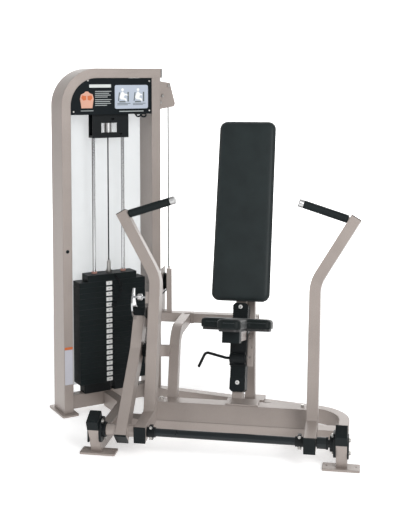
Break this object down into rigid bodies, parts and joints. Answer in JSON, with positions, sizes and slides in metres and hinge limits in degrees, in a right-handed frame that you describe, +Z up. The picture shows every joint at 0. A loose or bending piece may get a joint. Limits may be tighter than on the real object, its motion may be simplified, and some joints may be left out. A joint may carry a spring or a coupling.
{
  "type": "chest press machine",
  "caption": "Seated chest press exercise machine: slanted seat and back pads, low-pivoted swinging press arms and a cable-driven selectorised weight tower on a bent tube base.",
  "frame": {"origin": "floor point under the middle of the bounding box", "axes": "+Z up from the floor, the user sits facing -Y, +X is the side away from the weight tower"},
  "size_m": [1.6858, 1.0658, 1.85],
  "materials": {
    "frame_paint": "satin",
    "vinyl": "satin",
    "black_plastic": "matte",
    "chrome_steel": "polished",
    "steel": "satin",
    "black_metal": "satin",
    "rubber_part": "matte",
    "shroud": "satin",
    "board": "satin",
    "cable_cover": "satin",
    "bush": "matte",
    "silver": "satin",
    "board_wood": "satin"
  },
  "bodies": {
    "frame": {"tower_frame": "frame_paint", "tower_upright_right": "frame_paint", "tower_base_tube": "frame_paint", "tower_feet": "frame_paint", "instruction_board": "board", "rear_shroud": "shroud", "rod_bracket": "black_metal", "guide_rods": "chrome_steel", "guide_bush": "silver", "upper_pulley_bracket": "frame_paint", "lower_pulley_bracket": "frame_paint", "pulley_axles": "steel", "resting_plates": "black_metal", "rubber_buffers": "rubber_part", "cable_stack_run": "cable_cover", "cable_tower_run": "cable_cover", "front_post_left": "frame_paint", "front_post_right": "frame_paint", "floor_plates": "frame_paint", "base_rail_left": "frame_paint", "base_rail_right": "frame_paint", "cross_tube": "frame_paint", "seat_beam": "frame_paint", "tube_caps": "black_plastic", "frame_bolts": "steel", "tie_tube": "frame_paint", "back_column": "frame_paint", "bent_brace": "frame_paint", "stop_bracket": "frame_paint", "seat_post": "frame_paint", "slide_covers": "black_plastic", "pivot_bearings": "black_metal", "back_board": "board_wood", "back_cushion": "vinyl"},
    "arms": {"press_arm_left": "frame_paint", "press_arm_right": "frame_paint", "handle_grips": "rubber_part", "handle_end_rings": "silver", "arm_foot_caps": "black_plastic", "pivot_shaft": "steel", "shaft_collars": "black_metal"},
    "lever": {"drive_lever": "frame_paint", "lever_caps": "black_plastic", "range_selector": "chrome_steel"},
    "pull_pin": {"range_pin": "chrome_steel"},
    "stack": {"lifted_plates": "black_metal", "head_plate": "black_metal", "head_bushes": "bush", "selector_stem": "steel"},
    "weight_pin": {"selector_pin": "steel", "selector_knob": "black_plastic"},
    "upper_wheel": {"upper_pulley": "black_plastic"},
    "centre_wheel": {"centre_pulley": "black_plastic"},
    "lower_wheel": {"lower_pulley": "black_plastic"},
    "seat": {"seat_carriage": "black_metal", "seat_arm": "frame_paint", "seat_arm_cap": "black_plastic", "seat_board": "board_wood", "seat_cushion": "vinyl"},
    "seat_release": {"seat_release_rod": "black_metal"}
  },
  "joints": [
    {"name": "arm_swing", "type": "hinge", "parent": "frame", "child": "arms", "pos_m": [0.21591, -0.4619, 0.127], "axis": [1, 0, 0], "range_deg": [0, 40]},
    {"name": "lever_swing", "type": "hinge", "parent": "frame", "child": "lever", "pos_m": [0.21591, -0.4619, 0.127], "axis": [1, 0, 0], "range_deg": [0, 40]},
    {"name": "stack_lift", "type": "slide", "parent": "frame", "child": "stack", "axis": [0, 0, 1], "range_m": [0, 0.435], "deforming": ["cable_stack_run"]},
    {"name": "upper_pulley_spin", "type": "hinge", "parent": "frame", "child": "upper_wheel", "pos_m": [-0.28134, 0.45036, 1.7], "axis": [-0.6293, 0.7771, 0], "range_deg": [0, 545]},
    {"name": "centre_pulley_spin", "type": "hinge", "parent": "frame", "child": "centre_wheel", "pos_m": [-0.49467, 0.27761, 1.7], "axis": [-0.6293, 0.7771, 0], "range_deg": [0, 545]},
    {"name": "lower_pulley_spin", "type": "hinge", "parent": "frame", "child": "lower_wheel", "pos_m": [-0.2456, 0.4333, 0.663], "axis": [-1, 0, 0], "range_deg": [0, 545]},
    {"name": "seat_height", "type": "slide", "parent": "frame", "child": "seat", "axis": [0, 0.3173, 0.9483], "range_m": [-0.07, 0.07]},
    {"name": "seat_release", "type": "hinge", "parent": "seat", "child": "seat_release", "pos_m": [0.21591, -0.00604, 0.37067], "axis": [1, 0, 0], "range_deg": [0, 18], "stiffness_Nm_per_rad": 3, "springref_deg": -8.59},
    {"name": "weight_pin_pull", "type": "slide", "parent": "stack", "child": "weight_pin", "axis": [0.6293, -0.7771, 0], "range_m": [0, 0.1]},
    {"name": "range_pin_pull", "type": "slide", "parent": "arms", "child": "pull_pin", "axis": [1, 0, 0], "range_m": [0, 0.015], "stiffness_N_per_m": 800, "springref_m": -0.012}
  ],
  "couplings": [
    {"joint": "lever_swing", "follows": "arm_swing", "ratio": 1},
    {"joint": "stack_lift", "follows": "arm_swing", "m_per_rad": 0.62},
    {"joint": "upper_pulley_spin", "follows": "arm_swing", "ratio": 13.478},
    {"joint": "centre_pulley_spin", "follows": "arm_swing", "ratio": 13.478},
    {"joint": "lower_pulley_spin", "follows": "arm_swing", "ratio": 13.478}
  ]
}
